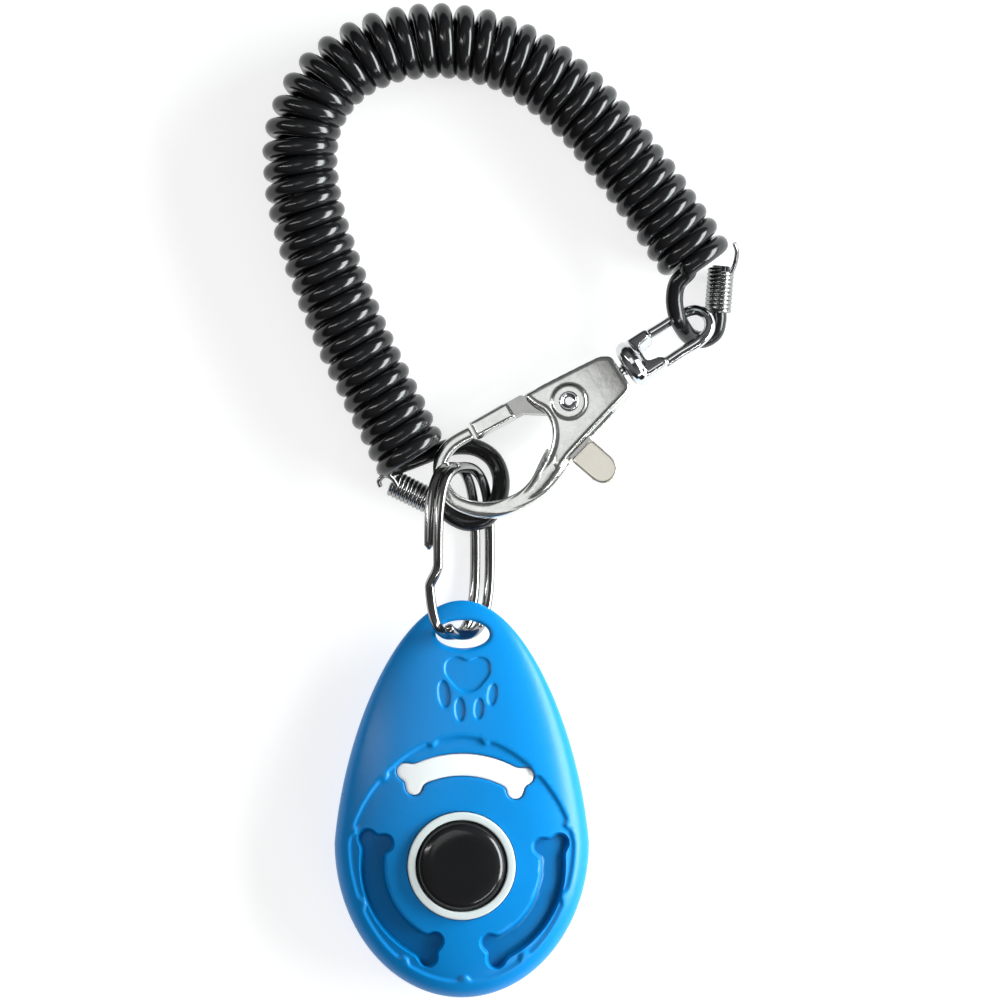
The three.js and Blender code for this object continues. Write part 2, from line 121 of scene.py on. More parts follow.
def even(points, step):
    """A closed outline's points again, at an even spacing of about step."""
    loop = np.vstack([points, points[:1]])
    along = np.concatenate([[0], np.cumsum(np.linalg.norm(np.diff(loop, axis=0), axis=1))])
    at = np.linspace(0, along[-1], max(8, round(along[-1] / step)), endpoint=False)
    return np.stack([np.interp(at, along, loop[:, k]) for k in (0, 1)], 1)


# ---- Surfaces: each function gives (vertices, faces) ----
def sweep(path, section, up=None, scale=None):
    """A bar of one closed section along path.

    up holds the section's second axis; without it, the section doesn't twist. scale gives a factor across and
    a factor up for each point of the path.
    """
    path = np.asarray(path, float)
    tangent = np.gradient(path, axis=0)
    tangent /= np.linalg.norm(tangent, axis=1)[:, None]
    guide = np.array(up if up is not None else np.roll(tangent[0], 1) + [0.1, 0.2, 0.3], float)
    scale = np.ones((len(path), 2)) if scale is None else scale
    rings = []
    for centre, along, (wide, tall) in zip(path, tangent, scale):
        normal = guide - along * guide.dot(along)
        normal /= np.linalg.norm(normal)
        if up is None:
            guide = normal
        side = np.cross(along, normal)
        rings.append(centre + wide * section[:, :1] * side + tall * section[:, 1:] * normal)
    count = len(section)
    faces = loft_faces(len(rings), count)
    faces.append(list(range(count))[::-1])
    faces.append([(len(rings) - 1) * count + i for i in range(count)])
    return np.concatenate(rings), faces


def loft_faces(rows, count):
    """Quads between rows of count points, each row closed on itself."""
    faces = []
    for row in range(rows - 1):
        for i in range(count):
            j = (i + 1) % count
            faces.append([row * count + i, row * count + j, (row + 1) * count + j, (row + 1) * count + i])
    return faces


def lathe(profile, sides=96):
    """A turned piece about +Z. profile holds (radius, height), and its ends on the axis are closed."""
    angle = 2 * np.pi * np.arange(sides) / sides
    rows = [np.stack([r * np.cos(angle), r * np.sin(angle), np.full(sides, z)], 1) for r, z in profile]
    faces = loft_faces(len(rows), sides)
    return np.concatenate(rows), faces


def prism(outline, low, high, bevel=0.0, top=None):
    """An outline pulled from low to high, its rims rounded over by bevel, or the upper one by top."""
    outline = np.asarray(outline, float)
    top = bevel if top is None else top
    turns = np.linspace(0, math.pi / 2, 5)
    levels = [(low + bevel * (1 - math.sin(t)), bevel * (1 - math.cos(t))) for t in turns[::-1]]
    levels += [(high - top * (1 - math.sin(t)), top * (1 - math.cos(t))) for t in turns]
    rows = []
    for z, inset in levels:
        flat = offset(outline, -inset)
        rows.append(np.column_stack([flat, np.full(len(flat), z)]))
    count = len(outline)
    faces = loft_faces(len(rows), count)
    faces.append(list(range(count))[::-1])
    faces.append([(len(rows) - 1) * count + i for i in range(count)])
    return np.concatenate(rows), faces


def offset(outline, distance):
    """Moves a closed outline outwards along its normals."""
    ahead = np.roll(outline, -1, 0) - np.roll(outline, 1, 0)
    normal = np.stack([ahead[:, 1], -ahead[:, 0]], 1)
    length = np.linalg.norm(normal, axis=1)[:, None]
    return outline + spin(outline) * distance * normal / np.maximum(length, 1e-9)


def spin(outline):
    """1 for a counter-clockwise outline, -1 for a clockwise one."""
    x, y = outline[:, 0], outline[:, 1]
    return 1 if np.sum(x * np.roll(y, -1) - y * np.roll(x, -1)) > 0 else -1


def joined(*parts):
    """Several (vertices, faces) as one."""
    vertices, faces, count = [], [], 0
    for part_vertices, part_faces in parts:
        vertices.append(part_vertices)
        faces += [[count + i for i in face] for face in part_faces]
        count += len(part_vertices)
    return np.concatenate(vertices), faces


def turned_to(part, matrix):
    """A part with its vertices moved by a 4x4 matrix given in millimetres."""
    vertices, faces = part
    return vertices @ np.array(matrix)[:3, :3].T + np.array(matrix)[:3, 3], faces


def distance_to(outline, x, y):
    """Signed distance from points to a closed outline, below zero inside it."""
    best = np.full(x.shape, 1e9)
    inside = np.zeros(x.shape, bool)
    for (ax, ay), (bx, by) in zip(outline, np.roll(outline, -1, 0)):
        ex, ey = bx - ax, by - ay
        t = np.clip(((x - ax) * ex + (y - ay) * ey) / (ex * ex + ey * ey + 1e-12), 0, 1)
        best = np.minimum(best, (x - ax - t * ex) ** 2 + (y - ay - t * ey) ** 2)
        crosses = (ay > y) != (by > y)
        with np.errstate(divide="ignore", invalid="ignore"):
            inside ^= crosses & (x < ex * (y - ay) / (by - ay) + ax)
    return np.where(inside, -1, 1) * np.sqrt(best)


# ---- Pieces ----
def face_outwards(mesh):
    """Welds a mesh's seams, drops faces with no area and turns the rest to face away from its middle."""
    made = bmesh.new()
    made.from_mesh(mesh)
    bmesh.ops.remove_doubles(made, verts=made.verts, dist=2e-6)
    bmesh.ops.dissolve_degenerate(made, edges=made.edges, dist=1e-7)
    bmesh.ops.recalc_face_normals(made, faces=made.faces)
    areas = [face.calc_area() for face in made.faces]
    middles = [face.calc_center_median() for face in made.faces]
    middle = sum((at * area for at, area in zip(middles, areas)), Vector()) / sum(areas)
    if sum(face.normal.dot(at - middle) * area for face, at, area in zip(made.faces, middles, areas)) < 0:
        bmesh.ops.reverse_faces(made, faces=made.faces)
    made.to_mesh(mesh)
    made.free()


def piece(name, part, material, body, slot, *nodes, sharp=35, painted_shade=None):
    """A mesh piece from (vertices, faces) in millimetres, which rides a body and stands for CAD nodes."""
    vertices, faces = part
    mesh = bpy.data.meshes.new(name)
    mesh.from_pydata((vertices * MM).tolist(), [], faces)
    # This attribute holds painted shade: how far the finish darkens the colour in recesses.
    if painted_shade is not None:
        attribute = mesh.attributes.new("painted_shade", "FLOAT", "POINT")
        attribute.data.foreach_set("value", painted_shade.astype(np.float32))
    face_outwards(mesh)
    mesh.validate()
    mesh.shade_smooth()
    mesh.set_sharp_from_angle(angle=math.radians(sharp))
    mesh.materials.append(material)
    obj = bpy.data.objects.new(name, mesh)
    return placed(obj, body, slot, *nodes)


def placed(obj, body, slot, *nodes):
    """Puts an object in the scene, on its body, and hides the CAD nodes it stands for."""
    bpy.context.scene.collection.objects.link(obj)
    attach(obj, body)
    if nodes:
        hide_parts(*nodes)
    return obj


def loose(name, part):
    """A plain object from (vertices, faces), to be worked on and removed."""
    vertices, faces = part
    mesh = bpy.data.meshes.new(name)
    mesh.from_pydata((vertices * MM).tolist(), [], faces)
    obj = bpy.data.objects.new(name, mesh)
    bpy.context.scene.collection.objects.link(obj)
    return obj


def cast(parts, voxel, passes, bores=()):
    """Melts overlapping closed parts into one soft-edged skin, as a casting has, then drills its bores."""
    raw = loose("raw", joined(*parts))
    remesh = raw.modifiers.new("skin", "REMESH")
    remesh.mode = "VOXEL"
    remesh.voxel_size = voxel * MM
    soften = raw.modifiers.new("soften", "SMOOTH")
    soften.factor = 0.5
    soften.iterations = passes
    drills = [loose("drill", bore) for bore in bores]
    for drill in drills:
        cut = raw.modifiers.new("bore", "BOOLEAN")
        cut.operation = "DIFFERENCE"
        cut.solver = "EXACT"
        cut.object = drill
    done = raw.evaluated_get(bpy.context.evaluated_depsgraph_get()).to_mesh()
    points = np.empty(len(done.vertices) * 3)
    done.vertices.foreach_get("co", points)
    polygons = [list(p.vertices) for p in done.polygons]
    for obj in [raw, *drills]:
        bpy.data.objects.remove(obj)
    return points.reshape(-1, 3) / MM, polygons


# ---- Finishes ----
def finish(name, colour, roughness, metallic=0.0, mottle=(90, 0.08), grain=(3000, 0.004), spread=0.05,
           shade=None, sockets=None):
    """A moulded, plated or drawn surface: mottled colour, uneven gloss and a fine grain.

    mottle is (noise scale per metre, share of the colour), grain is (scale, depth in mm), spread is how far
    the roughness wanders, and shade names a mesh attribute of painted shade, which darkens the colour in
    recesses.
    """
    material = bpy.data.materials.new(name)
    material.use_nodes = True
    nodes, links = material.node_tree.nodes, material.node_tree.links
    shader = nodes["Principled BSDF"]
    shader.inputs["Metallic"].default_value = metallic
    for socket, value in (sockets or {}).items():
        shader.inputs[socket].default_value = value
    place = nodes.new("ShaderNodeTexCoord").outputs["Object"]

    def noise(scale, detail):
        node = nodes.new("ShaderNodeTexNoise")
        node.inputs["Scale"].default_value = scale
        node.inputs["Detail"].default_value = detail
        links.new(place, node.inputs["Vector"])
        return node.outputs["Fac"]

    def mixed(factor, low, high):
        node = nodes.new("ShaderNodeMix")
        node.data_type = "RGBA"
        links.new(factor, node.inputs["Factor"])
        for socket, value in (("A", low), ("B", high)):
            target = [s for s in node.inputs if s.name == socket and s.type == "RGBA"][0]
            if hasattr(value, "links"):
                links.new(value, target)
            else:
                target.default_value = (*value, 1)
        return [s for s in node.outputs if s.type == "RGBA"][0]

    dark = [c * (1 - mottle[1]) for c in colour]
    light = [min(1, c * (1 + mottle[1]) + 0.004 * mottle[1]) for c in colour]
    tint = mixed(noise(mottle[0], 4), dark, light)
    # Painted shade: the attribute darkens the colour towards 0.42 of itself in recesses, where shade falls.
    if shade:
        relief = nodes.new("ShaderNodeAttribute")
        relief.attribute_name = shade
        tint = mixed(relief.outputs["Fac"], tint, [c * 0.42 for c in colour])
    links.new(tint, shader.inputs["Base Color"])

    gloss = nodes.new("ShaderNodeMapRange")
    gloss.inputs["To Min"].default_value = max(0.02, roughness - spread)
    gloss.inputs["To Max"].default_value = roughness + spread
    links.new(noise(mottle[0] * 7, 5), gloss.inputs["Value"])
    links.new(gloss.outputs["Result"], shader.inputs["Roughness"])

    bump = nodes.new("ShaderNodeBump")
    bump.inputs["Distance"].default_value = grain[1] * MM
    links.new(noise(grain[0], 3), bump.inputs["Height"])
    links.new(bump.outputs["Normal"], shader.inputs["Normal"])
    return material


BLUE = (0.001, 0.235, 0.64)
# The blue's recesses are darkened by the mesh attribute: painted shade.
blue = finish("blue_plastic", BLUE, 0.3, mottle=(120, 0.05), grain=(2600, 0.010), spread=0.06, shade="painted_shade",
              sockets={"Specular IOR Level": 0.28})
white = finish("white_plastic", (0.70, 0.76, 0.76), 0.4, mottle=(200, 0.03), grain=(2000, 0.004))
# Painted light: the pad is the ring's white plastic coloured lighter, so that it shows bright down in its
# slot.
pad_white_painted_light = finish("white_pad_painted_light", (0.93, 0.95, 0.95), 0.5, mottle=(200, 0.02), grain=(2000, 0.003))
black = finish("button_plastic", (0.010, 0.010, 0.011), 0.16,
               mottle=(150, 0.3), grain=(1800, 0.0012), spread=0.04)
cord_plastic = finish("cord_plastic", (0.008, 0.008, 0.009), 0.18,
                      mottle=(260, 0.35), grain=(900, 0.004), spread=0.07)
chrome = finish("chrome_plate", (0.72, 0.73, 0.74), 0.1, 1.0,
                mottle=(350, 0.08), grain=(1100, 0.003), spread=0.05)
ring_steel = finish("ring_wire", (0.34, 0.34, 0.335), 0.14, 1.0,
                    mottle=(500, 0.12), grain=(1500, 0.004), spread=0.06)
nickel = finish("cast_nickel", (0.70, 0.71, 0.69), 0.22, 1.0,
                mottle=(420, 0.16), grain=(1100, 0.012), spread=0.08)
steel = finish("spring_wire", (0.34, 0.34, 0.34), 0.2, 1.0,
               mottle=(500, 0.15), grain=(2400, 0.004), spread=0.08)
champagne = finish("tab_plate", (0.78, 0.75, 0.67), 0.3, 1.0,
                   mottle=(300, 0.06), grain=(1600, 0.004), spread=0.06)

# ---- Camera: straight down, with the object's long axis up the picture ----
low, high = (np.array(corner) for corner in cad_box)
FIELD = 0.164
LENS, SENSOR = 250, 36
AIM_X, AIM_Y, AIM_Z = -0.0002, 0.0001, 0.006
camera = bpy.data.objects.new("camera", bpy.data.cameras.new("camera"))
camera.data.lens = LENS
camera.data.sensor_width = SENSOR
middle = (low + high) / 2
camera.location = (middle[0] + AIM_X, middle[1] + AIM_Y, AIM_Z + FIELD * LENS / SENSOR)
bpy.context.scene.collection.objects.link(camera)
bpy.context.scene.camera = camera

# ---- The strap: one cord, plain at both ends and wound between them ----
CORD_R = 1.45
COIL_MEAN_R = 4.78
COIL_Z = 6.25
LEFT_LOOP = [
    (-11.3, 62.5, 2.4), (-8.6, 61.2, 2.4), (-6.0, 59.95, 2.4), (-3.4, 58.6, 2.5), (-1.4, 56.9, 3.1),
    (1.0, 56.0, 3.5), (3.8, 56.6, 3.55), (5.6, 58.9, 3.5), (6.4, 61.6, 2.8), (6.2, 64.3, 1.8),
    (5.0, 66.6, 1.5), (2.6, 68.2, 1.5), (-0.4, 68.6, 1.5), (-3.4, 68.0, 1.5),
]
RIGHT_LOOP = [
    (36.9, 96.9, 9.9), (35.3, 95.2, 9.1), (34.8, 92.6, 8.3), (35.2, 90.0, 7.7), (36.2, 88.0, 5.9),
    (37.6, 86.5, 3.6), (39.6, 86.1, 2.2), (41.5, 87.2, 1.9), (42.1, 89.2, 2.3), (42.1, 91.2, 2.4),
    (42.3, 93.6, 2.4), (42.5, 96.0, 2.4), (42.7, 98.2, 2.4),
]
COIL_LINE = [
    (-8.0, 66.3), (-9.1, 68.5), (-11.4, 73.0), (-14.6, 79.4), (-17.8, 86.0), (-20.6, 92.6), (-23.3, 99.9),
    (-25.3, 106.6), (-26.4, 113.0), (-26.2, 119.5), (-23.8, 125.8), (-19.3, 130.6), (-13.4, 133.6),
    (-6.8, 134.9), (-0.2, 134.8), (5.4, 133.4), (10.7, 131.0), (16.0, 127.3), (20.9, 122.6), (25.6, 116.9),
    (29.9, 111.3), (34.0, 105.4), (37.6, 100.3), (38.6, 98.6),
]
PITCH, OPEN_PITCH = 2.95, 3.4
TURN_START, TURN_END = -90, 110
POINTS_PER_TURN = 36


def helix():
    """The wound stretch: the cord turns about the coil's line, a little more open round the bend."""
    line = smooth_path([(x, y, COIL_Z) for x, y in COIL_LINE], 0.05)
    ahead = np.gradient(line, axis=0)
    ahead /= np.linalg.norm(ahead, axis=1)[:, None]
    left = np.stack([-ahead[:, 1], ahead[:, 0], np.zeros(len(line))], 1)
    steps = np.linalg.norm(np.diff(line, axis=0), axis=1)
    share = np.linspace(0, 1, len(steps))
    openness = np.exp(-(((share - 0.52) / 0.14) ** 2))
    turns = np.concatenate([[0], np.cumsum(steps / (PITCH + (OPEN_PITCH - PITCH) * openness))])
    part_turn = (TURN_END - TURN_START) / 360
    whole = round(turns[-1] - part_turn) + part_turn
    turns *= whole / turns[-1]
    at = np.linspace(0, whole, round(whole * POINTS_PER_TURN))
    centre = np.stack([np.interp(at, turns, line[:, k]) for k in range(3)], 1)
    out = np.stack([np.interp(at, turns, left[:, k]) for k in range(3)], 1)
    angle = np.radians(TURN_START) + 2 * np.pi * at
    up = np.array([0, 0, 1])
    # Moulded turns are never quite alike: some are a hair smaller.
    uneven = 1 + 0.012 * np.sin(at * 2.1) + 0.008 * np.sin(at * 5.3)
    radius = (COIL_MEAN_R * np.minimum(uneven, 1.0))[:, None]
    return centre + radius * (out * np.cos(angle)[:, None] + up * np.sin(angle)[:, None])


wound = helix()
route = np.vstack([
    smooth_path(LEFT_LOOP + [wound[0], wound[3]], 0.6)[:-6],
    wound,
    smooth_path([wound[-2], wound[-1]] + RIGHT_LOOP, 0.6)[3:],
])
gaps = np.linalg.norm(np.diff(route, axis=0), axis=1)
route = route[np.concatenate([[True], gaps > 0.05])]

curve = bpy.data.curves.new("strap_cord", "CURVE")
curve.dimensions = "3D"
curve.bevel_depth = CORD_R * MM
curve.bevel_resolution = 6
curve.use_fill_caps = True
spline = curve.splines.new("POLY")
spline.points.add(len(route) - 1)
for point, at in zip(spline.points, route):
    point.co = (*(at * MM), 1)
spline.use_smooth = True
curve.materials.append(cord_plastic)
strap = placed(bpy.data.objects.new("strap_cord", curve), "clasp", "black_cord",
               "strap_coil", "loop_left", "loop_right")


# ---- Wound wire sleeves on the cord's cut ends, each with a hook round the coil's last turn ----
def sleeve(name, node, start, end, hook, wire=0.4, turns=10):
    start, end = np.array(start, float), np.array(end, float)
    axis = end - start
    length = np.linalg.norm(axis)
    axis /= length
    side = np.cross(axis, [0, 0, 1])
    side /= np.linalg.norm(side)
    up = np.cross(side, axis)
    t = np.linspace(0, 1, turns * 28)
    angle = 2 * np.pi * turns * t
    out = np.cos(angle)[:, None] * up + np.sin(angle)[:, None] * side
    coil = start + axis * (t * length)[:, None] + (CORD_R + wire) * out
    return piece(name, joined(sweep(coil, circle(wire, 12)), sweep(smooth_path(hook, 0.2), circle(wire, 12))),
                 steel, "clasp", "spring_steel", node, sharp=60)


sleeve_left = sleeve(
    "sleeve_left", "end_spring_left", (-11.3, 62.5, 2.4), (-4.6, 59.2, 2.4),
    [(-10.6, 62.0, 4.25), (-11.2, 63.0, 4.7), (-12.0, 63.6, 5.0), (-12.9, 63.6, 5.2), (-13.6, 62.8, 5.1),
     (-13.4, 62.0, 4.6)])
sleeve_right = sleeve(
    "sleeve_right", "end_spring_right", (42.1, 90.8, 2.4), (42.65, 97.6, 2.4),
    [(44.0, 96.6, 3.5), (44.7, 98.0, 4.0), (45.1, 99.6, 4.7), (45.1, 100.8, 5.4), (44.7, 101.8, 6.0)])

# ---- The egg-shaped body ----
front_low, front_high = box_mm("front_shell")
WIDEST_Y = 3.6
HALF, TIP, HEEL = front_high[0], front_high[1] - WIDEST_Y, WIDEST_Y - front_low[1]
TIP_TAPER = 0.165
MID_Z = 6.2
TOP_RISE, BACK_DROP = 6.4, 7.2
TIP_THINNING = 0.6
SECTION_ROUND, SECTION_EDGE = 2.6, 2.2
SEAM = 0.07
STEP_OUTLINE = (18.3, 17.4, 22.6)
STEP_DEPTH, BONE_DEPTH, PAW_DEPTH = 0.55, 1.5, 0.3
TOP_BONE = (16.5, 1.9, -31, 35.5)
SIDE_BONES = [(14.9, 1.9, 77, 160), (14.6, 1.9, 200, 286)]
HOLE = (0.15, 37.7, 4.4, 2.3)
TIP_EDGE = 0.8
TIP_TRACE = [0.08, 0.25, 0.5, 0.8]
BEZEL_R = 8.8
WALL_FOOT = 9.0
PAD_SUNK = 0.18


def egg_point(u, v, half=HALF, tip=TIP, heel=HEEL):
    return half * u * (1 - TIP_TAPER * np.maximum(v, 0)), WIDEST_Y + np.where(v > 0, tip, heel) * v


def egg_disc(x, y):
    """The place in a unit disc of a point of the egg."""
    v = (y - WIDEST_Y) / np.where(y > WIDEST_Y, TIP, HEEL)
    return x / (HALF * (1 - TIP_TAPER * np.maximum(v, 0))), v


def swell(x, y):
    """1 at the body's middle, down to 0 at its rim."""
    u, v = egg_disc(x, y)
    reach = np.minimum(np.hypot(u, v), 1)
    thin = 1 - TIP_THINNING * np.maximum(v, 0) ** 2
    return thin * (1 - reach**SECTION_ROUND) ** (1 / SECTION_EDGE)


# The nubs' depth, as a share of the outline's size, and their half-width and soft edge in radians.
NUB_DEPTH, NUB_HALF, NUB_EDGE = 0.036, 0.036, 0.007


def egg_outline(half, tip, heel, count=360, nubs=0):
    """An egg outline, with small nubs that stand in from it."""
    angle = 2 * np.pi * np.arange(count) / count
    scale = np.ones(count)
    for i in range(nubs):
        away = (angle - 2 * np.pi * (i + 0.3) / nubs + np.pi) % (2 * np.pi) - np.pi
        scale -= NUB_DEPTH / (1 + np.exp((np.abs(away) - NUB_HALF) / NUB_EDGE))
    x, y = egg_point(np.cos(angle) * scale, np.sin(angle) * scale, half, tip, heel)
    return np.stack([x, y], 1)


def bone_outline(radius, half_band, start, end, inset=0.0):
    """A bone bent round the button: a band with two knobs at each end. Angles run clockwise from +Y."""
    def at(r, degrees, away=0.0, turn=0.0):
        a = math.radians(90 - degrees)
        b = a + turn
        return [r * math.cos(a) + away * math.cos(b), r * math.sin(a) + away * math.sin(b)]

    knob = half_band * 0.84 - inset
    shift = half_band * 0.76
    pinch = math.degrees(knob * 0.92 / radius)
    points = [at(radius + half_band - inset, d) for d in np.linspace(start + pinch, end - pinch, 24)]
    # Turns are measured from straight out, clockwise round the end knobs.
    points += [at(radius + shift, end, knob, -math.radians(t)) for t in np.linspace(-38, 150, 12)]
    points += [at(radius - shift, end, knob, -math.radians(t)) for t in np.linspace(30, 218, 12)]
    points += [at(radius - half_band + inset, d) for d in np.linspace(end - pinch, start + pinch, 24)]
    points += [at(radius - shift, start, knob, math.radians(t)) for t in np.linspace(218, 30, 12)]
    points += [at(radius + shift, start, knob, math.radians(t)) for t in np.linspace(150, -38, 12)]
    outline = even(np.array(points), 0.28)
    for _ in range(8):
        outline = (np.roll(outline, 1, 0) + 2 * outline + np.roll(outline, -1, 0)) / 4
    return even(outline, 0.28)


def ellipse(x, y, a, b, step=0.25, lean=0.0):
    outline = circle(1, 96) * (a, b)
    c, s = math.cos(lean), math.sin(lean)
    return even(outline @ np.array([[c, s], [-s, c]]) + (x, y), step)


def paw_outlines():
    """A generic paw print, toes towards the button: a soft three-cornered pad and four toes."""
    pad = rounded([(-2.6, 33.6), (-2.9, 31.4), (-0.6, 28.7), (1.0, 28.2), (2.6, 28.7), (4.8, 31.4),
                   (4.5, 33.6), (2.6, 34.2), (1.0, 33.2), (-0.6, 34.2)], 1.3)
    toes = [(-2.9, 28.0, 0.95, 2.2, 0.12), (-0.3, 25.5, 0.8, 1.9, 0.05), (2.8, 25.6, 0.75, 1.7, -0.05),
            (5.0, 27.9, 0.75, 1.8, -0.12)]
    return [even(pad, 0.25)] + [ellipse(x, y, a, b, 0.2, lean) for x, y, a, b, lean in toes]


def ease(t):
    t = np.clip(t, 0, 1)
    return t * t * (3 - 2 * t)


# Each relief is (outline, depth, half-width of its wall, how much painted shade darkens its floor).
step_outline = egg_outline(*STEP_OUTLINE, nubs=11)
reliefs = [(step_outline, STEP_DEPTH, 0.38, 0.03)]
reliefs += [(bone_outline(*side), BONE_DEPTH, 0.3, 0.7) for side in SIDE_BONES]
reliefs += [(outline, PAW_DEPTH, 0.22, 0.1) for outline in paw_outlines()]
slot = bone_outline(*TOP_BONE)
bezel_hole = even(circle(BEZEL_R + 0.12, 200), 0.3)
tip_hole = ellipse(*HOLE)


def rim_drop(distance, radius):
    """How far a rounded edge has dropped at a distance from it."""
    inward = np.clip(radius - distance, 0, radius)
    return radius - np.sqrt(radius**2 - inward**2)


def front_height(x, y, cuts=True):
    """The front's height, and how much painted shade darkens each point in the recesses."""
    z = MID_Z + TOP_RISE * swell(x, y)
    painted_shade = np.zeros(x.shape)
    for outline, depth, wall, dark in reliefs:
        sink = ease((wall - distance_to(outline, x, y)) / (2 * wall))
        z = z - depth * sink
        # Painted shade: the floors of the recesses get a darker colour, standing in for the shade that falls
        # in them.
        painted_shade = np.maximum(painted_shade, dark * sink)
    if cuts:
        z -= rim_drop(distance_to(tip_hole, x, y), TIP_EDGE)
        z -= rim_drop(distance_to(slot, x, y), 0.3)
        z -= rim_drop(distance_to(bezel_hole, x, y), 0.15)
    return z, painted_shade


def back_height(x, y):
    """The back's height: rounded, with a flat to lie on, and a rounded hole edge."""
    z = MID_Z - BACK_DROP * swell(x, y)
    z = 0.5 * (z + np.sqrt(z * z + 0.3)) - 0.02
    return z + rim_drop(distance_to(tip_hole, x, y), TIP_EDGE), np.zeros(x.shape)


RING_SHARE = math.sin(math.radians(70))
RIM_POINTS = 300


def half_shell(height, holes, traced, seam_z, hole_walls):
    """One half of the body: a fine mesh that follows every traced outline, a rolled rim and hole walls."""
    rim_angle = 2 * np.pi * np.arange(RIM_POINTS) / RIM_POINTS
    points, edges = [], []

    def add_loop(loop):
        first = len(points)
        points.extend(loop.tolist())
        count = len(loop)
        edges.extend([(first + i, first + (i + 1) % count) for i in range(count)])

    near = []
    for outline, distances in traced:
        for distance in distances:
            add_loop(offset(outline, distance))
        near.append((outline, max(abs(d) for d in distances) + 0.12))
    for hole in holes:
        add_loop(hole)
        near.append((hole, 0.12))
    edge_loop = np.stack(egg_point(np.cos(rim_angle) * RING_SHARE, np.sin(rim_angle) * RING_SHARE), 1)
    add_loop(edge_loop)

    fill = []
    for degrees in np.arange(1.2, 69.3, 1.4):
        share = math.sin(math.radians(degrees))
        count = max(8, round(RIM_POINTS * share))
        angle = 2 * np.pi * (np.arange(count) + 0.5 * (round(degrees) % 2)) / count
        fill.append(np.stack(egg_point(np.cos(angle) * share, np.sin(angle) * share), 1))
    fill = np.concatenate(fill)
    for outline, margin in near:
        fill = fill[np.abs(distance_to(outline, fill[:, 0], fill[:, 1])) > margin]
    points.extend(fill.tolist())

    flat, _, triangles, *_ = delaunay_2d_cdt([Vector(p) for p in points], edges, [], 0, 1e-6)
    flat = np.array([tuple(p) for p in flat])
    triangles = np.array(triangles)
    middle_x, middle_y = flat[triangles].mean(1).T
    keep = distance_to(edge_loop, middle_x, middle_y) < 0
    for hole in holes:
        keep &= distance_to(hole, middle_x, middle_y) > 0
    triangles = triangles[keep]
    # The height function also gives each point's painted shade, kept per vertex.
    z, painted_shade = height(flat[:, 0], flat[:, 1])
    vertices = [np.column_stack([flat, z])]
    shade = [painted_shade]
    faces = triangles.tolist()
    total = len(flat)

    # The rolled rim, from the fine mesh out to the seam and a little way in.
    rows = []
    for degrees in list(np.arange(70, 90, 1.6)) + [90]:
        share = math.sin(math.radians(degrees))
        x, y = egg_point(np.cos(rim_angle) * share, np.sin(rim_angle) * share)
        rows.append(np.column_stack([x, y, height(x, y)[0]]))
    rows[-1][:, 2] = seam_z
    for share in (0.995, 0.95):
        x, y = egg_point(np.cos(rim_angle) * share, np.sin(rim_angle) * share)
        rows.append(np.column_stack([x, y, np.full(len(x), seam_z)]))
    vertices += rows
    shade.append(np.zeros(len(rows) * RIM_POINTS))
    faces += [[total + i for i in face] for face in loft_faces(len(rows), RIM_POINTS)]
    total += len(rows) * RIM_POINTS

    # Walls down each hole, from its rim to a given height.
    for hole, wall_z in zip(holes, hole_walls):
        top = height(hole[:, 0], hole[:, 1])[0]
        for level in (top, np.full(len(hole), wall_z)):
            vertices.append(np.column_stack([hole, level]))
            shade.append(np.zeros(len(hole)))
        faces += [[total + i for i in face] for face in loft_faces(2, len(hole))]
        total += 2 * len(hole)
    return np.concatenate(vertices), faces, np.concatenate(shade)


def shell_piece(name, node, shell):
    vertices, faces, painted_shade = shell
    return piece(name, (vertices, faces), blue, "clicker", "blue_shell", node, sharp=50, painted_shade=painted_shade)


front_traced = [(outline, [-wall, -wall / 2, 0, wall / 2, wall]) for outline, _, wall, _ in reliefs]
front_traced += [(slot, [0.06, 0.15, 0.3]), (bezel_hole, [0.05, 0.15]), (tip_hole, TIP_TRACE)]
shell_piece("front_half", "front_shell", half_shell(
    front_height, [slot, bezel_hole, tip_hole], front_traced, MID_Z + SEAM, [WALL_FOOT, WALL_FOOT, MID_Z]))
shell_piece("back_half", "back_shell", half_shell(
    back_height, [tip_hole], [(tip_hole, TIP_TRACE)], MID_Z - SEAM, [MID_Z]))


# The white inner frame: the ring round the button and the pad in the top slot.
def frame_pad():
    """The pad follows the face a little below it, with a rounded edge."""
    outline = bone_outline(*TOP_BONE, inset=0.1)
    rows = []
    for inset, drop in ((0.0, 2.6), (0.0, 0.42), (0.05, 0.3), (0.16, 0.22), (0.35, PAD_SUNK), (0.7, PAD_SUNK)):
        edge = offset(outline, -inset)
        z, _ = front_height(edge[:, 0], edge[:, 1], cuts=False)
        rows.append(np.column_stack([edge, z - drop]))
    count = len(outline)
    faces = loft_faces(len(rows), count)
    faces.append(list(range(count)))
    inner = rows[-1]
    flat, _, triangles, *_ = delaunay_2d_cdt(
        [Vector(p) for p in inner[:, :2]], [(i, (i + 1) % count) for i in range(count)], [], 1, 1e-6)
    flat = np.array([tuple(p) for p in flat])
    z, _ = front_height(flat[:, 0], flat[:, 1], cuts=False)
    cap = np.column_stack([flat, z - PAD_SUNK]), [list(t) for t in triangles]
    return joined((np.concatenate(rows), faces), cap)


_, bezel_high = box_mm("inner_frame")
BEZEL_BORE, BEZEL_FOOT = 7.5, 8.2
bezel_profile = rounded([(BEZEL_BORE, BEZEL_FOOT), (BEZEL_BORE, bezel_high[2]),
                         (BEZEL_R, bezel_high[2]), (BEZEL_R, BEZEL_FOOT)], 0.28)
piece("inner_ring", lathe(np.vstack([bezel_profile, bezel_profile[:1]]), 128),
      white, "clicker", "white_frame", "inner_frame", sharp=50)
# The pad's lighter white is painted light.
piece("inner_pad", frame_pad(), pad_white_painted_light, "clicker", "white_frame", "inner_frame", sharp=50)

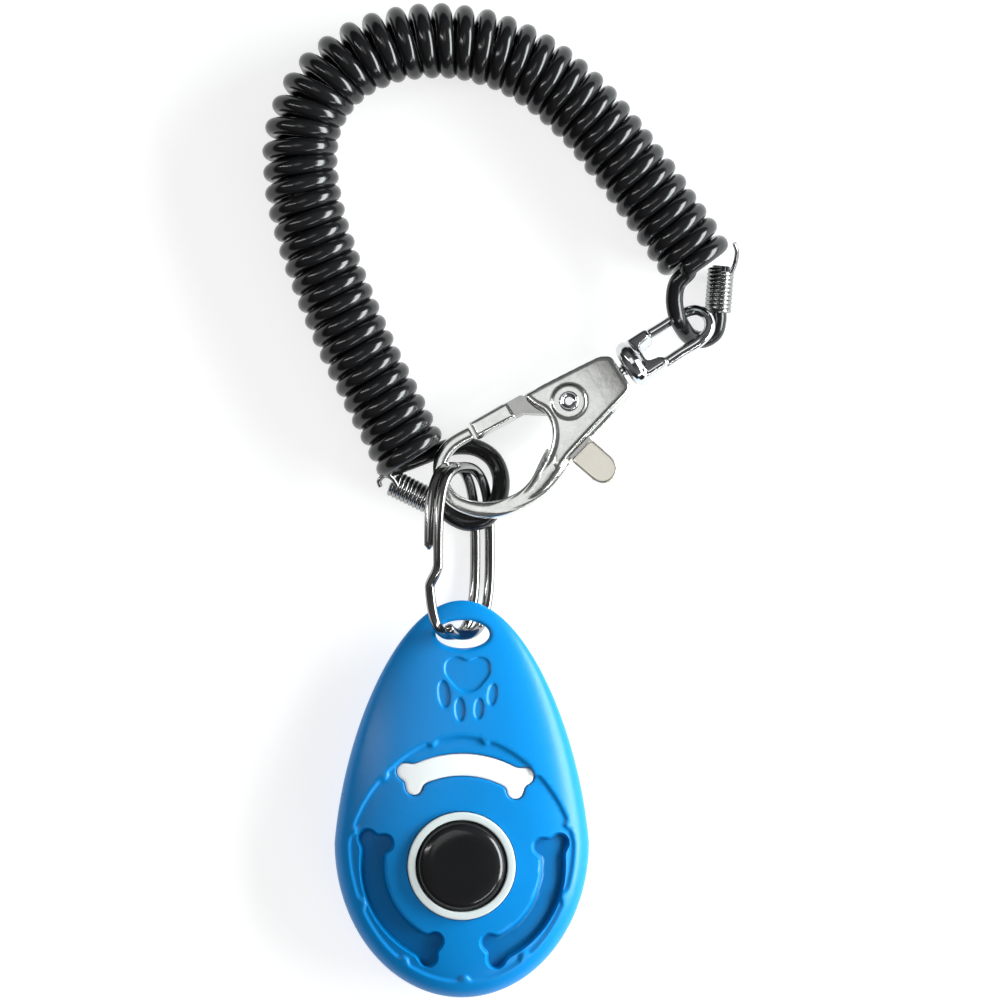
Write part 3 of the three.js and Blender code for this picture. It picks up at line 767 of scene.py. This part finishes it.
# ---- The thumb button ----
_, button_high = box_mm("button_cap")
BUTTON_R, BUTTON_FOOT = 7.34, 7.6
top = button_high[2]
dome = smooth_path([(0, top, 0), (3.0, top - 0.03, 0), (5.0, top - 0.12, 0), (6.0, top - 0.3, 0),
                    (6.6, top - 0.62, 0), (7.05, top - 1.1, 0), (7.32, top - 1.8, 0),
                    (BUTTON_R, top - 2.6, 0), (BUTTON_R, BUTTON_FOOT, 0)], 0.25)[:, :2]
dome = np.vstack([dome, [(0, BUTTON_FOOT)]])
piece("thumb_button", lathe(dome, 128), black, "button", "black_button", "button_cap", sharp=60)

# ---- The split ring: two lanes of one wire ----
RING_LEFT, RING_RIGHT = (-4.6, 12.3), (3.38, 0.9)
RING_WIRE = 0.8
RING_Y = 51.35
RING_HALF = 13.7
RING_ROUND = 2.8
RING_START, RING_TURNS = 0.0005, 1.8395
LANE_CHANGE, LANE_CHANGE_SPAN = 0.95, 0.04
# How far a lane stands from the middle line: across at the left, how much more at the right, and in height.
LANE_ACROSS, LANE_MORE, LANE_HEIGHT = 0.75, 0.45, 0.63


def ring_path():
    """The wire's line: an oval that steps from one lane to the other once on its way round."""
    t = np.linspace(0, 1, 520)
    turn = 2 * np.pi * (RING_START + RING_TURNS * t)
    across, along = -np.cos(turn), np.sin(turn)
    rightward = np.sign(across) * np.abs(across) ** (2 / RING_ROUND)
    upward = np.sign(along) * np.abs(along) ** (2 / RING_ROUND)
    lane = 2 * ease((turn / (2 * np.pi) - LANE_CHANGE) / LANE_CHANGE_SPAN) - 1
    to_right = (1 + rightward) / 2
    x = RING_LEFT[0] + (RING_RIGHT[0] - RING_LEFT[0]) * to_right + lane * (LANE_ACROSS + LANE_MORE * to_right)
    z = RING_LEFT[1] + (RING_RIGHT[1] - RING_LEFT[1]) * to_right + lane * LANE_HEIGHT * (1 - to_right)
    return np.stack([x, RING_Y + RING_HALF * upward, z], 1)


def ring_wire():
    """The wire, with its two ends rounded off."""
    path = ring_path()
    along = np.concatenate([[0], np.cumsum(np.linalg.norm(np.diff(path, axis=0), axis=1))])
    short = np.clip(1 - np.minimum(along, along[-1] - along) / RING_WIRE, 0, 0.98)
    share = np.sqrt(1 - short**2)
    return sweep(path, circle(RING_WIRE + 0.03, 20, 2.5), scale=np.stack([share, share], 1))


piece("ring_wire", ring_wire(), ring_steel, "ring", "chrome", "split_ring", sharp=50)

# ---- The clasp, in its own frame: x from the rivet towards the eye, z along the rivet ----
rivet = Vector(joints["gate_open"]["pos_m"]) / MM
along = Vector(joints["eye_swivel"]["axis"]).normalized()
out = Vector(joints["gate_open"]["axis"]).normalized()
clasp_frame = Matrix.Translation(rivet) @ Matrix((along, out.cross(along), out)).transposed().to_4x4()
EYE_ROLL = math.radians(-20)
eye_frame = clasp_frame @ Matrix.Rotation(EYE_ROLL, 4, "X")

HOOK_PATH = [(-16.2, 4.9), (-20.0, 5.0), (-22.9, 3.7), (-24.7, 0.6), (-24.7, -2.8), (-22.6, -6.0),
             (-19.4, -8.2), (-15.4, -9.1), (-11.6, -8.75), (-8.6, -7.5), (-6.2, -6.3)]
BODY_HALF, SLOT_HALF, HOOK_BAR = 2.8, 1.55, 1.2
PLATE = [(-5.9, 5.3), (8.2, 3.9), (9.9, 2.9), (9.9, -3.3), (8.9, -3.9), (-4.7, -7.4), (-7.6, -8.5),
         (-8.0, -7.0), (-6.2, -4.9), (-4.1, -2.6), (-3.5, 0.4), (-4.6, 2.6)]
TAIL_BLOCK = [(5.2, 4.1), (8.2, 3.8), (9.8, 2.8), (9.8, -3.2), (8.8, -3.8), (5.2, -4.6)]
TOP_WEB = [(-3.4, 5.0), (-3.2, 3.45), (5.4, 3.0), (5.4, 4.1)]
HOOK_ROOT = [(-5.1, -7.4), (-7.6, -8.4), (-8.0, -6.9), (-6.2, -5.0), (-4.8, -3.4)]

ONTO_X = np.array(Matrix.Rotation(math.pi / 2, 4, "Y"))
NECK_BORE = [(0, 4.0), (2.2, 4.0), (2.2, 6.95), (1.3, 7.2), (1.3, 11.5), (0, 11.5)]

# A raised bead runs down the inner edge of the body and out along the hook.
INNER_RIM = [(-5.2, 4.6, 2.3), (-4.7, 2.9, 2.35), (-3.8, 1.0, 2.4), (-3.8, -1.2, 2.4), (-4.7, -3.3, 2.4),
             (-6.3, -5.1, 2.35), (-8.6, -6.6, 2.1), (-11.4, -7.7, 1.5), (-14.2, -8.3, 0.7)]


def clasp_casting():
    hook_line = smooth_path([(x, y, 0) for x, y in HOOK_PATH], 0.35)
    # The bar is slim at the tip and swells, in width and then in depth, as it runs into the body.
    run = np.linspace(0, 1, len(hook_line))
    widths = 0.97 + 0.25 * ease((run - 0.35) / 0.3) + 0.75 * ease((run - 0.72) / 0.28)
    depths = 1 + 1.25 * ease((run - 0.5) / 0.5)
    hook = sweep(hook_line, circle(HOOK_BAR, 24, 2.9), up=(0, 0, 1), scale=np.stack([widths, depths], 1))
    plate = rounded(PLATE, 0.8)
    ring = circle(2.95, 48)
    parts = [
        hook,
        sweep(smooth_path(INNER_RIM, 0.3), circle(0.62, 14), up=(0, 0, 1)),
        prism(plate, SLOT_HALF, BODY_HALF, 0.15, 0.7),
        prism(plate, -BODY_HALF, -SLOT_HALF, 0.15),
        prism(rounded(TAIL_BLOCK, 0.5), -BODY_HALF + 0.1, BODY_HALF - 0.1, 0.1),
        prism(rounded(TOP_WEB, 0.3), -BODY_HALF + 0.1, BODY_HALF - 0.1, 0.1),
        prism(rounded(HOOK_ROOT, 0.5), -BODY_HALF + 0.1, BODY_HALF - 0.1, 0.1, 0.6),
        prism(ring, BODY_HALF - 0.6, BODY_HALF + 0.28, 0.12, 0.4),
    ]
    vertices, faces = cast(parts, 0.16, 6, [turned_to(lathe(NECK_BORE, 40), ONTO_X)])
    # The front face is a shallow dome, highest by the rivet.
    fall = 0.006 * ((vertices[:, 0] - 1) ** 2 + vertices[:, 1] ** 2)
    vertices[:, 2] -= np.minimum(fall, 0.7) * ease((vertices[:, 2] - 1.2) / 0.8)
    return vertices, faces


piece("clasp_casting", turned_to(clasp_casting(), clasp_frame), nickel,
      "clasp", "chrome", "clasp_body", sharp=70)

pin_profile = smooth_path([(0, 3.3, 0), (0.75, 3.3, 0), (1.0, 3.45, 0), (1.15, 3.78, 0), (1.35, 3.85, 0),
                           (1.6, 3.7, 0), (1.65, 3.45, 0), (1.62, 2.9, 0)], 0.06)[:, :2]
pin_foot = np.array([(1.62, 2.9), (0.9, 2.8), (0.9, -3.0), (1.55, -3.05), (1.5, -3.3), (0, -3.3)])
piece("clasp_pin", turned_to(lathe(np.vstack([pin_profile, pin_foot]), 64), clasp_frame), chrome,
      "clasp", "chrome", "clasp_rivet", sharp=45)

# The lever inside the body is the CAD node, with its pivot bore and spring pocket.
GATE_BAR = [(-15.9, 3.5), (-8.6, 2.9), (-8.6, 5.9), (-15.7, 6.3)]
TAB = [(-5.0, -8.05), (-3.75, -12.4), (-3.1, -13.9), (-1.7, -14.7), (0.0, -14.3), (1.05, -13.2),
       (1.15, -11.6), (-0.2, -6.85)]
TAB_LOW, TAB_HIGH = -2.4, 1.5


def gate_bar():
    """The straight bar that closes the hook, rounded on top."""
    return cast([prism(rounded(GATE_BAR, 0.35), -HOOK_BAR - 0.2, HOOK_BAR + 0.35, 0.2, 0.6)], 0.12, 2)


def thumb_tab():
    """The wide end that the thumb pulls, standing proud of the lever on both sides."""
    return cast([prism(rounded(TAB, 0.9, 8), TAB_LOW, TAB_HIGH, 0.25, 0.35)], 0.12, 2)


piece("gate_bar", turned_to(gate_bar(), clasp_frame), nickel, "gate", "chrome", sharp=70)
piece("thumb_tab", turned_to(thumb_tab(), clasp_frame), champagne, "gate", "chrome", sharp=70)

# ---- The swivel eye ----
EYE_BAR, EYE_HALF, EYE_END = 0.95, 3.05, 26.65
YOKE = [(11.0, -2.9), (11.0, 2.9), (13.0, 4.0), (17.2, 4.0), (17.2, 2.2), (14.4, 1.7), (14.4, -1.7),
        (17.2, -2.2), (17.2, -4.0), (13.0, -4.0)]


def swivel_eye():
    neck = [(0, 5.5), (1.85, 5.6), (1.85, 6.6), (1.0, 6.9), (1.0, 10.45), (2.7, 10.6), (3.7, 11.0),
            (4.15, 11.8), (4.15, 12.6), (3.6, 13.4), (2.0, 13.9), (0, 13.9)]
    loop = smooth_path([
        (12.6, 2.4, 0), (15.5, EYE_HALF, 0), (20, EYE_HALF, 0), (EYE_END - EYE_HALF, EYE_HALF, 0),
        (EYE_END - 0.9, EYE_HALF * 0.72, 0), (EYE_END, 0, 0), (EYE_END - 0.9, -EYE_HALF * 0.72, 0),
        (EYE_END - EYE_HALF, -EYE_HALF, 0), (20, -EYE_HALF, 0), (15.5, -EYE_HALF, 0), (12.6, -2.4, 0)], 0.4)
    yoke = prism(rounded(YOKE, 0.9), -1.45, 1.45, 0.4, 0.7)
    return cast([turned_to(lathe(neck, 48), ONTO_X), sweep(loop, circle(EYE_BAR, 16)), yoke], 0.14, 3)


piece("swivel_eye_loop", turned_to(swivel_eye(), eye_frame), chrome, "eye", "chrome", "swivel_eye", sharp=70)

# ---- CAD nodes that show as they are ----
for node, metal in (("click_plate", steel), ("clasp_spring", steel), ("clasp_gate", ring_steel)):
    for material_slot in frame["nodes"][node].material_slots:
        material_slot.material = metal

# ---- Studio ----
floor_mesh = bpy.data.meshes.new("floor")
SIDE, FLOOR_Z = 2.5, -0.00005
floor_corners = [(-SIDE, -SIDE, 0), (SIDE, -SIDE, 0), (SIDE, SIDE, 0), (-SIDE, SIDE, 0)]
floor_mesh.from_pydata(floor_corners, [], [(0, 1, 2, 3)])
floor_paper = finish("floor_paper", (0.45, 0.45, 0.45), 0.7, mottle=(4, 0.01), grain=(400, 0.002), sockets={
    "Emission Color": (1, 1, 1, 1), "Emission Strength": 0.72, "Specular IOR Level": 0.1})
floor_mesh.materials.append(floor_paper)
floor = bpy.data.objects.new("floor", floor_mesh)
floor.location.z = FLOOR_Z
bpy.context.scene.collection.objects.link(floor)


def lamp(name, at, size, watts, colour=(1, 1, 1), glossy=True):
    """A soft box aimed at the middle of the object."""
    light = bpy.data.lights.new(name, "AREA")
    light.shape = "RECTANGLE"
    light.size, light.size_y = size
    light.energy = watts
    light.color = colour
    obj = bpy.data.objects.new(name, light)
    centre = Vector(middle)
    obj.location = centre + Vector(at)
    obj.rotation_euler = (-Vector(at)).to_track_quat("-Z", "Y").to_euler()
    obj.visible_glossy = glossy
    obj.visible_camera = False
    bpy.context.scene.collection.objects.link(obj)
    return obj


lamp("overhead", (0, 0, 0.7), (0.7, 0.7), 0.3, glossy=False)
lamp("plate_box", (-0.13, 0.17, 0.62), (0.3, 0.3), 0.32)
lamp("left_strip", (-0.42, 0.12, 0.36), (0.025, 0.4), 0.6)
lamp("right_key", (0.47, 0.04, 0.19), (0.6, 0.2), 6.2, (0.96, 1.0, 1.0))
lamp("right_rim", (0.5, 0.14, 0.06), (0.5, 0.08), 1.3, (0.3, 1.0, 1.0), glossy=False)
lamp("low_strip", (0.25, -0.38, 0.28), (0.3, 0.025), 0.4)


def studio_world():
    """A dim room, lighter high up, for metal to show; pale behind the object."""
    world = bpy.data.worlds.new("studio")
    bpy.context.scene.world = world
    world.use_nodes = True
    nodes, links = world.node_tree.nodes, world.node_tree.links
    direction = nodes.new("ShaderNodeTexCoord").outputs["Generated"]
    split = nodes.new("ShaderNodeSeparateXYZ")
    links.new(direction, split.inputs["Vector"])
    ramp = nodes.new("ShaderNodeValToRGB")
    links.new(split.outputs["Z"], ramp.inputs["Fac"])
    stops = ramp.color_ramp.elements
    stops[0].position, stops[0].color = 0.0, (0.02, 0.02, 0.022, 1)
    stops[1].position, stops[1].color = 1.0, (0.05, 0.05, 0.052, 1)
    for at, level in ((0.3, 0.03), (0.6, 0.16), (0.9, 0.12)):
        stop = stops.new(at)
        stop.color = (level, level, level, 1)
    seen = nodes.new("ShaderNodeLightPath").outputs["Is Camera Ray"]
    mix = nodes.new("ShaderNodeMixShader")
    pale = nodes.new("ShaderNodeBackground")
    pale.inputs["Color"].default_value = (0.9, 0.9, 0.9, 1)
    room = nodes["Background"]
    links.new(ramp.outputs["Color"], room.inputs["Color"])
    links.new(seen, mix.inputs["Fac"])
    links.new(room.outputs["Background"], mix.inputs[1])
    links.new(pale.outputs["Background"], mix.inputs[2])
    links.new(mix.outputs["Shader"], nodes["World Output"].inputs["Surface"])


studio_world()
bpy.context.scene.view_settings.view_transform = "Standard"
